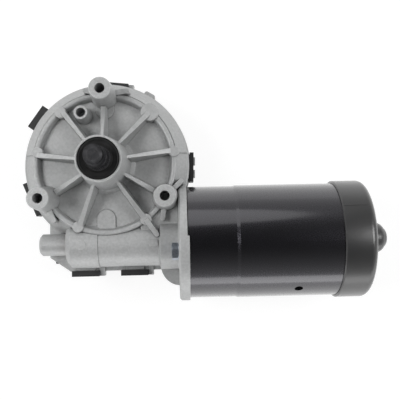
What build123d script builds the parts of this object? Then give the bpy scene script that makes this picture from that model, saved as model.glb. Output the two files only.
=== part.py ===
from build123d import *
import os
from math import atan, cos, degrees, pi, radians, sin, tan

os.makedirs("parts", exist_ok=True)

# The row frame has its origin on the output shaft, in the plane of the three mounting boss faces.
# +Z runs out along the output shaft, +X along the motor, all sizes are millimetres and degrees.

# Gear train
tooth_module = 1.2
wheel_teeth = 60
worm_pitch_radius = 6.0
worm_length = 18.0
wheel_width = 8.0
pressure_angle = 20.0
flank_gap = 0.17
wheel_pitch_radius = tooth_module * wheel_teeth / 2
wheel_tip_radius = wheel_pitch_radius + tooth_module
wheel_root_radius = wheel_pitch_radius - 1.25 * tooth_module
worm_tip_radius = worm_pitch_radius + tooth_module
worm_root_radius = worm_pitch_radius - 1.25 * tooth_module
worm_lead = pi * tooth_module
lead_angle = degrees(atan(worm_lead / (2 * pi * worm_pitch_radius)))

# Motor axis
motor_depth = 28.0
motor_y = -(wheel_pitch_radius + worm_pitch_radius)
motor_z = -motor_depth
motor_axis = Axis((0, motor_y, motor_z), (1, 0, 0))
motor_profile = Plane(origin=(0, motor_y, motor_z), x_dir=(1, 0, 0), z_dir=(0, -1, 0))

# Clearances
running_gap = 0.04
seat_gap = 0.1
free_gap = 0.5

# Housing castings
casting_wall = 2.6
floor_gap = 1.4
ring_height = 4.2
ring_inner_radius = 34.6
ring_wall = 2.3
ring_outer_radius = ring_inner_radius + ring_wall
ring_inner_fillet = 1.3
ring_outer_fillet = 0.6
rim_wall = 5.8
slope_rise = 0.5
thick_from = 8.0
thick_to = 172.0
flange_step = 0.6
back_flange = 4.0
tunnel_wall = 4.2
wheel_front = motor_z + wheel_width / 2
wheel_back = motor_z - wheel_width / 2
floor_back = wheel_front + floor_gap
floor_front = floor_back + casting_wall
ring_top = floor_front + ring_height
cavity_radius = wheel_tip_radius + 1.0
rim_radius = cavity_radius + rim_wall
back_radius = rim_radius + flange_step
tunnel_bore_radius = worm_tip_radius + 0.8
tunnel_radius = tunnel_bore_radius + tunnel_wall
housing_back = motor_z - tunnel_bore_radius - back_flange
flange_front = housing_back + back_flange
tunnel_left = -21.5
tunnel_joint = -4.5
tunnel_shoulder = 0.5
tunnel_block_top = -14.0
tail_left = -36.0
tail_boss_radius = 5.8
collar_start = 27.0
web_corner = (36.0, -12.0)
web_height = 10.0

# Hub and mounting bosses
mounting_radius = 36.0
mounting_angles = (90, 210, 330)
boss_radius = 5.6
boss_draft = 4.0
boss_edge = 0.4
boss_thread_radius = 2.5
boss_hole_depth = 16.0
hub_height = 9.5
hub_rim_radius = 11.4
hub_edge = 0.4
hub_base_radius = 13.6
hub_cup_radius = 10.3
hub_cup_floor = 0.5
bracket_boss_radius = 4.0
bracket_hole_radius = 2.4
bracket_boss_at = (27.7, 113)
bracket_boss_height = 12.0

# Ribs and pads on the front of the housing
rib_angles = (90, 48, 10, -30, -55, -112.5, -150, 172, 128)
rib_width = 3.5
rib_draft = 4.0
rib_hub_height = 14.0
rib_ring_height = ring_height + 0.3
pad_rise = 1.0
ring_pads = ((35.5, 47.9, 4.6), (36.4, 9, 2.8), (36.1, -54.7, 2.9),
             (35.6, -113.5, 2.8), (34.9, 169.6, 2.7), (34.9, 129.7, 2.9))

bead_ends = ((36, 90, (12.3, 37.4)), (36, 90, (-9.3, 38)), (36, 330, (39.4, -10)),
             (36, 330, (29.6, -29)), (36, 210, (-26.5, -29)), (36.1, -54.7, (26.3, -37.2)))
bead_width = 2.6
bead_rise = 1.6
tongue_place = 28.6
tongue_width = 9.4
tongue_rise = 1.0
round_mark_at = (-13.0, -42.0)
round_mark_radius = 2.6
square_mark_at = (24.4, -41.8)
square_mark_size = (4.6, 3.2)
mark_rise = 0.3

# Motor flange
flange_left = 37.6
flange_thickness = 4.4
flange_right = flange_left + flange_thickness
flange_radius = 31.0
spigot_length = 1.0
lip_length = 1.0
lip_top = -38.0
bolt_radius = 2.5
bolt_head_flats = 8.0
bolt_head_height = 3.6
bolt_offset = 19.5
bolt_tilt = 12.0

# Output shaft
shaft_radius = 6.0
shaft_shoulder = 11.0
taper_length = 6.0
taper_tip_radius = 5.2
thread_radius = 5.0
shaft_tip = 26.0
bush_wall = 2.0
groove_depth = 0.6
clip_thickness = 1.0
washer_thickness = 0.6
wheel_hub_radius = 9.0

# Motor
can_radius = 30.0
can_step = 0.4
can_step_x = 66.6
can_step_length = 1.6
can_corner = 2.0
can_wall = 2.0
can_length = 91.5
gasket_thickness = 0.5
cap_wall = 1.2
cap_start = 119.9
cap_corner = 3.0
cap_mouth_chamfer = 0.5
nose_radius = 6.0
nose_length = 11.0
nose_wall = 1.0
drain_radius = 2.15
drain_x = 98.4
drain_angle = 55.0
can_front = flange_right + gasket_thickness
can_back = can_front + can_length
can_mouth_radius = can_radius - can_step
can_bore = can_mouth_radius - can_wall
cap_radius = can_radius + cap_wall
rest_z = motor_z - cap_radius

# Armature
magnet_thickness = 4.7
armature_shaft_radius = 4.0
tail_radius = 3.0
rear_journal_radius = 3.0
bearing_width = 7.0
bearing_radius = 11.0
bearing_start = 33.0
core_start = 68.0
core_length = 46.0
slot_count = 12
end_turn_front = 6.0
end_turn_back = 7.0
commutator_radius = 10.5
commutator_start = 49.0
commutator_length = 11.0
segment_gap = 0.5
air_gap = 0.7
core_radius = can_bore - magnet_thickness - air_gap
magnet_span = 136.0
magnet_overhang = 3.0

# Back cover
seal_thickness = 0.8
seal_width = 2.2
seal_inset = 1.0
cover_flange = 2.4
cover_wall = 2.0
cover_front = housing_back - seal_thickness
pan_front = cover_front - cover_flange
cover_right = 26.0
pan_left = -14.0
pan_step = 3.0
pan_fillet = 2.0
pan_radius = cavity_radius + 3.3
plate_thickness = 2.0
plate_gap = 0.8
plate_z = pan_front - 3.0

# Snap frames on the cover and the lugs that they hold
snap_bar = 2.5
snap_leg = 2.2
snap_front = flange_front + 4.0
snap_gap = 0.2
snap_clear = 0.3
snap_inside = flange_step - snap_gap
bottom_edge = -57.0
round_snaps = ((84.5, 14.5, 46.2, "guard clockwise"), (144.2, 14.0, 48.5, "bare"),
               (-1.5, 16.0, 46.4, "horns"), (-157.6, 19.0, 46.4, "bare"))
bottom_snaps = ((-13.3, 14.8, 2.6, "guard"), (13.2, 14.8, 2.6, "guard"))
guard_width = 2.6
horn_width = 4.2
horn_reach = 0.9
bare_lug_angle = 59.6

# Foot of the castings under the worm tunnel
foot_left = -33.0
foot_corner_y = -49.3
foot_corner_x = -22.0
foot_top = -20.0
sweep_length = 10.0
sweep_drop = 9.0
sweep_radius = 11.0


def polar(radius, angle, height=0.0):
    """Point at a radius and an angle round the output shaft."""
    return (radius * cos(radians(angle)), radius * sin(radians(angle)), height)


def across_motor(x):
    """Plane across the motor axis at x, with its own x along row Y and its own y along row Z."""
    return Plane(origin=(x, motor_y, motor_z), x_dir=(0, 1, 0), z_dir=(1, 0, 0))


def back_outline(right_edge):
    """Outline of the bowl and the foot under the worm tunnel, up to a right edge."""
    with BuildSketch(mode=Mode.PRIVATE) as outline:
        Circle(back_radius)
        with BuildLine():
            Polyline((foot_left, foot_top), (foot_left, foot_corner_y), (foot_corner_x, bottom_edge),
                     (right_edge, bottom_edge), (right_edge, foot_top), close=True)
        make_face()
    return outline.sketch


def cover_outline(inset):
    """Outline of the cover's flange, which stops short of the motor flange, drawn inset from its edge."""
    with BuildSketch(mode=Mode.PRIVATE) as outline:
        add(back_outline(cover_right))
        with Locations((flange_left - free_gap, motor_y + flange_radius + free_gap)):
            Rectangle(back_radius, 2 * back_radius, align=(Align.MIN, Align.MAX), mode=Mode.SUBTRACT)
        if inset:
            offset(amount=-inset)
    return outline.sketch


def pan_outline(inset):
    """Outline of the cover's pan, drawn inset from its outer wall."""
    with BuildSketch(mode=Mode.PRIVATE) as outline:
        Circle(pan_radius)
        with Locations((pan_left, bottom_edge + pan_step)):
            Rectangle(cover_right - pan_step - pan_left, -bottom_edge / 2, align=(Align.MIN, Align.MIN))
        with Locations((flange_left - pan_step, motor_y + flange_radius + pan_step)):
            Rectangle(back_radius, 2 * back_radius, align=(Align.MIN, Align.MAX), mode=Mode.SUBTRACT)
        if inset:
            offset(amount=-inset)
    return outline.sketch


def snap_places():
    """Place, length, reach and lug of each snap frame: its own x points outwards, its own y along the edge."""
    places = [(Location(polar(back_radius, angle), (0, 0, angle)), length, outside - back_radius, lug)
              for angle, length, outside, lug in round_snaps]
    places += [(Location((x, bottom_edge, 0), (0, 0, -90)), length, reach, lug)
               for x, length, reach, lug in bottom_snaps]
    return places


# Output train stack
washer_gap = 0.05
hub_length = 11.2
web_thickness = 3.0
rim_thickness = 3.0
disc_thickness = 0.5
contact_radii = (17.0, 22.0, 27.0)
finger_thickness = 0.4
finger_length = 12.0
hub_front = floor_back - washer_thickness - washer_gap
hub_back = hub_front - hub_length
shaft_back = hub_back - 4.0
web_front = motor_z + web_thickness / 2
web_back = motor_z - web_thickness / 2
rim_inner = wheel_root_radius - rim_thickness
clip_z = hub_cup_floor + washer_thickness + washer_gap
cap_floor = clip_z + clip_thickness + 1.4

# Contact plate, connector and the pillar under the output shaft
shroud_left = -32.5
shroud_y = -42.5
shroud_width = 22.0
shroud_height = 11.0
shroud_wall = 1.6
shroud_z = rest_z + 0.3 + shroud_height / 2
terminal_count = 4
terminal_pitch = 4.4
terminal_width = 2.8
terminal_thickness = 0.8
post_radius = 3.0
post_pin_radius = 1.6
post_places = (polar(34, 45), polar(34, 135), polar(34, 190), polar(30, -20), (18, -48))
pillar_radius = 5.0
thrust_button_back = shaft_back - 2.5

# Tail of the armature shaft
tail_bush_length = 6.0
tail_bore_radius = 3.6
tail_bore_end = -32.8
tail_pad_thickness = 1.0
ball_radius = 2.0
ball_x = tail_bore_end + tail_pad_thickness + running_gap + ball_radius
tail_end = ball_x + ball_radius + running_gap

# Ball bearing, can mouth and brush gear
ball_pitch_radius = 7.6
bearing_ball_radius = 1.55
clip_groove = 0.7
end_plate_start = flange_right + spigot_length + seat_gap
end_plate_thickness = 2.0
card_start = end_plate_start + end_plate_thickness + seat_gap
card_thickness = 2.0
bolt_length = 8.0
brush_angles = (0, 180, 240)
brush_width = 5.0
brush_axial = 7.0
brush_lift = 0.3
brush_spring_length = 3.4
brush_x = commutator_start + commutator_length / 2
brush_box_wall = 1.0
brush_box_inner = commutator_radius + 1.6
brush_box_outer = can_bore - 2.0
spring_leaf = 0.4
brush_start = commutator_radius + running_gap + brush_lift
brush_length = brush_box_outer - brush_box_wall - 2 * spring_leaf - brush_spring_length - brush_start
choke_angles = (48, 140)
choke_place = 19.5
choke_core_radius = 2.0
choke_length = 11.0

# Armature details and rear bearing
core_bore = armature_shaft_radius + 1.0
slot_depth = 10.0
slot_width = 4.4
slot_mouth = 2.0
slot_middle = core_radius - 1.8 - slot_depth / 2
commutator_sleeve_radius = 8.0
nose_bore = nose_radius - nose_wall
rear_bush_length = 9.0
shaft_end = can_back + nose_length - nose_wall - 1.0
retainer_thickness = 0.7
retainer_radius = 12.0
cap_end = can_back + cap_wall
cap_tip = can_back + nose_length + 4.7


# Ribs on the front panel, cut off along a cone that falls from the hub to the ring
rib_end = ring_inner_radius + ring_wall / 2
with BuildPart() as rib_star:
    for rib_angle in rib_angles:
        with BuildSketch(Plane.XY.offset(floor_front - casting_wall / 2)):
            with Locations(Location(polar((hub_cup_radius + 1 + rib_end) / 2, rib_angle), (0, 0, rib_angle))):
                Rectangle(rib_end - hub_cup_radius - 1, rib_width)
        extrude(amount=rib_hub_height + casting_wall / 2, taper=rib_draft)
    with BuildSketch(Plane.XZ):
        with BuildLine():
            Polyline((0, floor_front + rib_hub_height), (hub_rim_radius, floor_front + rib_hub_height),
                     (rib_end + 1, floor_front + rib_ring_height),
                     (rib_end + 1, floor_front + rib_hub_height + 5),
                     (0, floor_front + rib_hub_height + 5), close=True)
        make_face()
    revolve(axis=Axis.Z, mode=Mode.SUBTRACT)

# Gear housing: die-cast gearbox with the worm tunnel and the motor flange in one piece
with BuildPart() as gear_housing:
    # Bowl round the worm wheel, with its raised ring
    with BuildSketch(Plane.XZ):
        with BuildLine():
            Polyline((0, housing_back), (back_radius, housing_back), (back_radius, flange_front),
                     (rim_radius, flange_front), (rim_radius, motor_z), (rim_radius - 1, motor_z + 0.6),
                     (ring_outer_radius + 0.6, ring_top - 3), (ring_outer_radius, ring_top),
                     (ring_inner_radius, ring_top), (ring_inner_radius - 0.8, floor_front),
                     (0, floor_front), close=True)
        make_face()
    revolve(axis=Axis.Z)
    ring_edges = edges().filter_by(GeomType.CIRCLE).filter_by(lambda e: abs(e.center().Z - ring_top) < 0.01)
    fillet(ring_edges.sort_by(SortBy.RADIUS)[0], ring_inner_fillet)
    ring_edges = edges().filter_by(GeomType.CIRCLE).filter_by(lambda e: abs(e.center().Z - ring_top) < 0.01)
    fillet(ring_edges.sort_by(SortBy.RADIUS)[-1], ring_outer_fillet)

    # Thicker upper half of the bowl's slope
    with BuildSketch(Plane(origin=(0, 0, 0), x_dir=polar(1, thick_from), z_dir=polar(1, thick_from - 90))):
        with BuildLine():
            Polyline((rim_radius - 0.4, motor_z - 1), (rim_radius - 0.4, motor_z + 0.5 + slope_rise),
                     (ring_outer_radius + 1, ring_top - 3 + slope_rise), (ring_outer_radius - 1, ring_top - 3),
                     close=True)
        make_face()
    revolve(axis=Axis.Z, revolution_arc=thick_to - thick_from)

    # Foot of the casting behind the worm tunnel
    with BuildSketch(Plane.XY.offset(housing_back)):
        add(back_outline(flange_left))
        with BuildLine():
            Line((flange_left, bottom_edge), (flange_left - sweep_length, bottom_edge))
            RadiusArc((flange_left - sweep_length, bottom_edge), (flange_left, bottom_edge - sweep_drop),
                      -sweep_radius)
            Line((flange_left, bottom_edge - sweep_drop), (flange_left, bottom_edge))
        make_face()
    extrude(amount=back_flange)
    with BuildSketch(Plane.XY.offset(housing_back)):
        with BuildLine():
            Polyline((tunnel_left, motor_y - tunnel_radius), (flange_left, motor_y - tunnel_radius),
                     (flange_left, tunnel_block_top), (tunnel_left, tunnel_block_top), close=True)
        make_face()
    extrude(amount=motor_z - housing_back)

    # Worm tunnel, its closed tail boss and the collar and flange that carry the motor
    with BuildSketch(motor_profile):
        with BuildLine():
            Polyline((tail_left, 0), (tail_left, tail_boss_radius - 1.2), (tail_left + 1.2, tail_boss_radius),
                     (tunnel_left, tail_boss_radius),
                     (tunnel_left, tunnel_radius - 2.6), (tunnel_left + 2.6, tunnel_radius + tunnel_shoulder),
                     (tunnel_joint, tunnel_radius + tunnel_shoulder), (tunnel_joint, tunnel_radius),
                     (collar_start, tunnel_radius), (collar_start + 1, tunnel_radius + 2),
                     (flange_left - 0.5, tunnel_radius + 2), (flange_left, tunnel_radius + 2.5),
                     (flange_left, flange_radius - 1), (flange_left + 1, flange_radius),
                     (flange_right, flange_radius), (flange_right, can_bore - seat_gap),
                     (flange_right + spigot_length, can_bore - seat_gap),
                     (flange_right + spigot_length, 0), close=True)
        make_face()
    revolve(axis=motor_axis)

    # Web between the bowl, the tunnel and the flange
    with BuildSketch(Plane.XY.offset(housing_back)):
        with BuildLine():
            Polyline((web_corner[0] / 2, motor_y + tunnel_radius), web_corner, (flange_left + 1, web_corner[1]),
                     (flange_left + 1, motor_y), (web_corner[0] / 2, motor_y), close=True)
        make_face()
    extrude(amount=motor_z + web_height - housing_back)

    # Ribs, hub, bosses and pads on the front
    add(rib_star.part)
    with BuildSketch(Plane.XZ):
        with BuildLine():
            Polyline((0, floor_back), (hub_base_radius + 2, floor_back),
                     (hub_base_radius + 2, floor_front), (hub_base_radius, floor_front + 2),
                     (hub_rim_radius, hub_height - hub_edge), (hub_rim_radius - hub_edge, hub_height),
                     (0, hub_height), close=True)
        make_face()
    revolve(axis=Axis.Z)
    for angle in mounting_angles:
        with BuildSketch(Plane.XY):
            with Locations(polar(mounting_radius, angle)):
                Circle(boss_radius - boss_edge)
        extrude(amount=-boss_edge, taper=-45)
        with BuildSketch(Plane.XY.offset(-boss_edge)):
            with Locations(polar(mounting_radius, angle)):
                Circle(boss_radius)
        extrude(amount=motor_z, taper=-boss_draft)
    with BuildSketch(Plane.XY.offset(floor_back)):
        with Locations(polar(*bracket_boss_at)):
            Circle(bracket_boss_radius + 0.5)
    extrude(amount=bracket_boss_height + casting_wall, taper=rib_draft)
    with BuildSketch(Plane.XY.offset(motor_z)):
        for pad_place, pad_angle, pad_radius in ring_pads:
            with Locations(polar(pad_place, pad_angle)):
                Circle(pad_radius)
    extrude(amount=ring_top + pad_rise - motor_z)

    # Raised tongues on the panel, below the hub and round the top rib
    with BuildSketch(Plane.XY.offset(floor_front)):
        for tongue_angle in (-90, 90):
            with Locations(Location(polar(tongue_place, tongue_angle), (0, 0, tongue_angle))):
                Circle(tongue_width / 2)
                Rectangle(ring_inner_radius - tongue_place, tongue_width, align=(Align.MIN, Align.CENTER))
    extrude(amount=tongue_rise)

    # Marks of the ejector pins on the tunnel
    with BuildSketch(Plane.XY.offset(motor_z)):
        with Locations(round_mark_at):
            Circle(round_mark_radius)
    extrude(amount=tunnel_radius + tunnel_shoulder + mark_rise / 2)
    with BuildSketch(Plane.XY.offset(motor_z)):
        with Locations(square_mark_at):
            Rectangle(*square_mark_size)
    extrude(amount=tunnel_radius + mark_rise)

    # Short beads that run from the mounting bosses and a pad on to the bowl's slope
    with BuildSketch(Plane.XY.offset(motor_z)):
        for place, angle, bead_end in bead_ends:
            with BuildLine(mode=Mode.PRIVATE) as bead_line:
                Line(polar(place, angle)[:2], bead_end)
            trace(bead_line.line, line_width=bead_width)
            with Locations(bead_end):
                Circle(bead_width / 2)
    extrude(amount=ring_top + bead_rise - motor_z)

    # Lugs for the cover's snap frames, some with a guard beside the frame or horns past its bar
    for lug_place, frame_length, reach, lug in snap_places():
        lug_width = frame_length - 2 * snap_leg - 2 * snap_gap
        guard_y = frame_length / 2 + snap_gap + guard_width / 2
        with BuildSketch(Plane.XY.offset(housing_back)):
            with Locations(lug_place):
                Rectangle(2 * (reach - snap_gap), lug_width)
                if lug == "horns":
                    with GridLocations(0, lug_width - horn_width, 1, 2):
                        Rectangle(2 * (reach + horn_reach), horn_width)
                if lug.startswith("guard"):
                    with Locations((0, -guard_y if lug.endswith("clockwise") else guard_y)):
                        Rectangle(2 * reach, guard_width)
        extrude(amount=snap_front - snap_bar - snap_gap - housing_back)
    with BuildSketch(Plane.XY.offset(housing_back)):
        with Locations(Location(polar(back_radius, bare_lug_angle), (0, 0, bare_lug_angle))):
            RectangleRounded(4.4, 6.2, 1.2)
    extrude(amount=snap_front - snap_bar - housing_back)

    # Lip on the flange's lower half, relief for the can's edge, and the collar trimmed flush with the cover
    with BuildSketch(across_motor(flange_right)):
        Circle(flange_radius)
        with Locations((lip_top - motor_y, 0)):
            Rectangle(2 * flange_radius, 2 * flange_radius, align=(Align.MIN, Align.CENTER), mode=Mode.SUBTRACT)
    extrude(amount=lip_length)
    with BuildSketch(across_motor(flange_right)):
        Circle(can_mouth_radius + free_gap)
        Circle(can_bore - seat_gap, mode=Mode.SUBTRACT)
    extrude(amount=rim_wall, mode=Mode.SUBTRACT)
    with BuildSketch(Plane.XY.offset(housing_back)):
        with Locations((flange_left, motor_y)):
            Rectangle(2 * back_radius, 4 * tunnel_radius, align=(Align.MAX, Align.CENTER))
    extrude(amount=-tunnel_radius, mode=Mode.SUBTRACT)

    # Space for the worm wheel and the worm
    with BuildSketch(Plane.XY.offset(housing_back)):
        Circle(cavity_radius)
    extrude(amount=floor_back - housing_back, mode=Mode.SUBTRACT)
    with BuildSketch(motor_profile):
        with BuildLine():
            Polyline((tail_bore_end, 0), (tail_bore_end, tail_bore_radius),
                     (tunnel_left, tail_bore_radius), (tunnel_left, tunnel_bore_radius),
                     (bearing_start - 1, tunnel_bore_radius), (bearing_start - 1, bearing_radius - 1.5),
                     (bearing_start, bearing_radius - 1.5), (bearing_start, bearing_radius),
                     (bearing_start + bearing_width, bearing_radius),
                     (bearing_start + bearing_width, bearing_radius + clip_groove),
                     (bearing_start + bearing_width + clip_thickness + seat_gap, bearing_radius + clip_groove),
                     (bearing_start + bearing_width + clip_thickness + seat_gap, bearing_radius),
                     (flange_right + spigot_length, bearing_radius),
                     (flange_right + spigot_length, 0), close=True)
        make_face()
    revolve(axis=motor_axis, mode=Mode.SUBTRACT)

    # Hub bore and cup
    with BuildSketch(Plane.XY.offset(floor_back)):
        Circle(shaft_radius + bush_wall)
    extrude(amount=hub_height - floor_back, mode=Mode.SUBTRACT)
    with BuildSketch(Plane.XY.offset(hub_cup_floor)):
        Circle(hub_cup_radius)
    extrude(amount=hub_height - hub_cup_floor, mode=Mode.SUBTRACT)

    # Tapped holes in the bosses and bolt holes in the flange
    with BuildSketch(Plane.XY):
        for angle in mounting_angles:
            with Locations(polar(mounting_radius, angle)):
                Circle(boss_thread_radius)
    extrude(amount=-boss_hole_depth, mode=Mode.SUBTRACT)
    with BuildSketch(Plane.XY.offset(floor_back + bracket_boss_height + casting_wall)):
        with Locations(polar(*bracket_boss_at)):
            Circle(bracket_hole_radius)
    extrude(amount=-bracket_boss_height + 1, mode=Mode.SUBTRACT)
    with BuildSketch(across_motor(flange_left)):
        with PolarLocations(bolt_offset, 2, start_angle=90 + bolt_tilt):
            Circle(bolt_radius + seat_gap)
    extrude(amount=flange_thickness + spigot_length, mode=Mode.SUBTRACT)
gear_housing.part.label = "gear_housing"
export_step(gear_housing.part, "parts/gear_housing.step")

# Back cover: moulded pan with its snap frames and the connector shroud
with BuildPart() as gear_cover:
    with BuildSketch(Plane.XY.offset(pan_front)):
        add(cover_outline(0))
        for snap_place, frame_length, reach, _ in snap_places():
            with Locations(snap_place):
                Rectangle(2 * reach, frame_length)
    extrude(amount=cover_flange)
    with BuildSketch(Plane.XY.offset(pan_front)):
        add(pan_outline(0))
    extrude(amount=rest_z - pan_front)
    fillet(faces().sort_by(Axis.Z)[0].edges(), pan_fillet)
    with BuildSketch(Plane.XY.offset(cover_front)):
        add(pan_outline(cover_wall))
    extrude(amount=rest_z + cover_wall - cover_front, mode=Mode.SUBTRACT)

    # Connector shroud, open to the left
    with BuildSketch(Plane.YZ.offset(shroud_left)):
        with Locations((shroud_y, shroud_z)):
            RectangleRounded(shroud_width, shroud_height, 2)
    extrude(amount=pan_left + cover_wall - shroud_left)
    with BuildSketch(Plane.YZ.offset(shroud_left)):
        with Locations((shroud_y, shroud_z)):
            RectangleRounded(shroud_width - 2 * shroud_wall, shroud_height - 2 * shroud_wall, 1)
    extrude(amount=pan_left - shroud_left, mode=Mode.SUBTRACT)
    with BuildSketch(Plane.YZ.offset(pan_left)):
        with Locations((shroud_y, shroud_z)):
            with GridLocations(terminal_pitch, 0, terminal_count, 1):
                Rectangle(terminal_width + 2 * seat_gap, terminal_thickness + 2 * seat_gap)
    extrude(amount=cover_wall, mode=Mode.SUBTRACT)

    # Posts for the contact plate, and the pillar that takes the output shaft's end thrust
    with BuildSketch(Plane.XY.offset(rest_z + cover_wall)):
        for post_place in post_places:
            with Locations(post_place):
                Circle(post_radius)
        Circle(pillar_radius)
    extrude(amount=plate_z - rest_z - cover_wall)
    with BuildSketch(Plane.XY.offset(plate_z)):
        for post_place in post_places:
            with Locations(post_place):
                Circle(post_pin_radius)
        Circle(pillar_radius)
    extrude(amount=plate_thickness + 0.8)
    with BuildSketch(Plane.XY.offset(plate_z)):
        Circle(pillar_radius)
    extrude(amount=thrust_button_back - plate_z)

    # Frames that snap over the housing's lugs, each with its bar bearing on the rim
    for snap_place, frame_length, reach, _ in snap_places():
        with BuildSketch(Plane.XY.offset(cover_front)):
            with Locations(snap_place):
                with Locations(((snap_clear + reach) / 2, 0)):
                    with GridLocations(0, frame_length - snap_leg, 1, 2):
                        Rectangle(reach - snap_clear, snap_leg)
        extrude(amount=snap_front - cover_front)
        with BuildSketch(Plane.XY.offset(snap_front - snap_bar)):
            with Locations(snap_place):
                with Locations(((reach - snap_inside) / 2, 0)):
                    Rectangle(reach + snap_inside, frame_length)
            Circle(rim_radius + snap_gap, mode=Mode.SUBTRACT)
        extrude(amount=snap_bar)
gear_cover.part.label = "gear_cover"
export_step(gear_cover.part, "parts/gear_cover.step")

# Flat rubber seal between the housing and the cover
with BuildPart() as cover_seal:
    with BuildSketch(Plane.XY.offset(cover_front)):
        add(cover_outline(seal_inset))
        add(cover_outline(seal_inset + seal_width), mode=Mode.SUBTRACT)
    extrude(amount=seal_thickness)
cover_seal.part.label = "cover_seal"
export_step(cover_seal.part, "parts/cover_seal.step")

# Sintered bronze bush pressed into the hub
with BuildPart() as front_bush:
    with BuildSketch(Plane.XY.offset(floor_back)):
        Circle(shaft_radius + bush_wall)
        Circle(shaft_radius + running_gap, mode=Mode.SUBTRACT)
    extrude(amount=hub_cup_floor - floor_back)
front_bush.part.label = "front_bush"
export_step(front_bush.part, "parts/front_bush.step")

# Spring steel washers at both ends of the bush
with BuildPart() as thrust_washers:
    for washer_z in (hub_cup_floor, floor_back - washer_thickness):
        with BuildSketch(Plane.XY.offset(washer_z)):
            Circle(wheel_hub_radius - free_gap)
            Circle(shaft_radius + seat_gap, mode=Mode.SUBTRACT)
        extrude(amount=washer_thickness)
thrust_washers.part.label = "thrust_washers"
export_step(thrust_washers.part, "parts/thrust_washers.step")

# Output shaft: ground journal, serrated taper and stud end
with BuildPart() as output_shaft:
    with BuildSketch(Plane.XZ):
        with BuildLine():
            Polyline((0, shaft_back), (shaft_radius - 0.5, shaft_back), (shaft_radius, shaft_back + 0.5),
                     (shaft_radius, clip_z), (shaft_radius - groove_depth, clip_z),
                     (shaft_radius - groove_depth, clip_z + clip_thickness + seat_gap),
                     (shaft_radius, clip_z + clip_thickness + seat_gap), (shaft_radius, shaft_shoulder),
                     (taper_tip_radius, shaft_shoulder + taper_length),
                     (thread_radius, shaft_shoulder + taper_length), (thread_radius, shaft_tip - 1),
                     (thread_radius - 1, shaft_tip), (0, shaft_tip), close=True)
        make_face()
    revolve(axis=Axis.Z)
output_shaft.part.label = "output_shaft"
export_step(output_shaft.part, "parts/output_shaft.step")

# Circlip in the shaft's groove, in front of the washer
with BuildPart() as shaft_circlip:
    with BuildSketch(Plane.XY.offset(clip_z + seat_gap / 2)):
        Circle(shaft_radius + 2)
        Circle(shaft_radius - groove_depth, mode=Mode.SUBTRACT)
        with Locations((0, -shaft_radius)):
            Rectangle(3.4, shaft_radius, mode=Mode.SUBTRACT)
        for side in (-1, 1):
            with Locations((side * 3.2, -shaft_radius - 1.3)):
                Circle(1.3)
                Circle(0.55, mode=Mode.SUBTRACT)
    extrude(amount=clip_thickness)
shaft_circlip.part.label = "shaft_circlip"
export_step(shaft_circlip.part, "parts/shaft_circlip.step")

# Rubber cap that closes the hub's cup round the turning shaft
with BuildPart() as shaft_seal_cap:
    with BuildSketch(Plane.XZ):
        with BuildLine():
            Polyline((shaft_radius + running_gap, cap_floor + 1.6), (shaft_radius + 1.2, cap_floor),
                     (hub_cup_radius, cap_floor), (hub_cup_radius, hub_height - 0.9),
                     (hub_cup_radius - 1, hub_height - 0.3), (hub_cup_radius - 1.8, hub_height - 0.9),
                     (shaft_radius + 0.9, hub_height - 1.6), (shaft_radius + running_gap, hub_height - 0.6),
                     close=True)
        make_face()
    revolve(axis=Axis.Z)
shaft_seal_cap.part.label = "shaft_seal_cap"
export_step(shaft_seal_cap.part, "parts/shaft_seal_cap.step")

# Steel hub pressed on the shaft, with a scalloped rim that the wheel is moulded round
with BuildPart() as wheel_hub:
    with BuildSketch(Plane.XY.offset(hub_front)):
        Circle(wheel_hub_radius)
        with PolarLocations(wheel_hub_radius + 0.6, 8):
            Circle(1.6, mode=Mode.SUBTRACT)
        Circle(shaft_radius, mode=Mode.SUBTRACT)
    extrude(amount=hub_back - hub_front)
wheel_hub.part.label = "wheel_hub"
export_step(wheel_hub.part, "parts/wheel_hub.step")

# One tooth of the worm wheel, leaning at the worm's lead angle
tooth_half = (pi * tooth_module / 2 - flank_gap) / 2
tooth_slope = tan(radians(pressure_angle))
tooth_tip = tooth_half - tooth_module * tooth_slope
tooth_root = tooth_half + 1.25 * tooth_module * tooth_slope
lean = wheel_width / 2 * tan(radians(lead_angle))
with BuildPart() as wheel_tooth:
    with BuildSketch(Plane.XY.offset(wheel_back)):
        with BuildLine():
            Polyline((-lean - tooth_root, -wheel_root_radius + 0.4), (-lean - tooth_root, -wheel_root_radius),
                     (-lean - tooth_tip, -wheel_tip_radius), (-lean + tooth_tip, -wheel_tip_radius),
                     (-lean + tooth_root, -wheel_root_radius), (-lean + tooth_root, -wheel_root_radius + 0.4),
                     close=True)
        make_face()
    extrude(amount=wheel_width, dir=(tan(radians(lead_angle)), 0, 1))

# Moulded worm wheel with a thin web and front ribs
with BuildPart() as worm_wheel:
    with BuildSketch(Plane.XZ):
        with BuildLine():
            Polyline((shaft_radius, hub_front), (wheel_hub_radius + 3, hub_front),
                     (wheel_hub_radius + 3, web_front),
                     (rim_inner, web_front), (rim_inner, wheel_front), (wheel_root_radius, wheel_front),
                     (wheel_root_radius, wheel_back), (rim_inner, wheel_back), (rim_inner, web_back),
                     (wheel_hub_radius + 3, web_back), (wheel_hub_radius + 3, hub_back),
                     (shaft_radius, hub_back), close=True)
        make_face()
    revolve(axis=Axis.Z)
    with BuildSketch(Plane.XY.offset(web_front)):
        with PolarLocations((wheel_hub_radius + 2 + rim_inner) / 2, 10):
            Rectangle(rim_inner - wheel_hub_radius - 1, 1.6)
    extrude(amount=wheel_front - web_front)
    with PolarLocations(0, wheel_teeth):
        add(wheel_tooth.part)
    with BuildSketch(Plane.XY.offset(hub_front)):
        Circle(wheel_hub_radius)
        with PolarLocations(wheel_hub_radius + 0.6, 8):
            Circle(1.6, mode=Mode.SUBTRACT)
    extrude(amount=hub_back - hub_front, mode=Mode.SUBTRACT)
worm_wheel.part.label = "worm_wheel"
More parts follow.
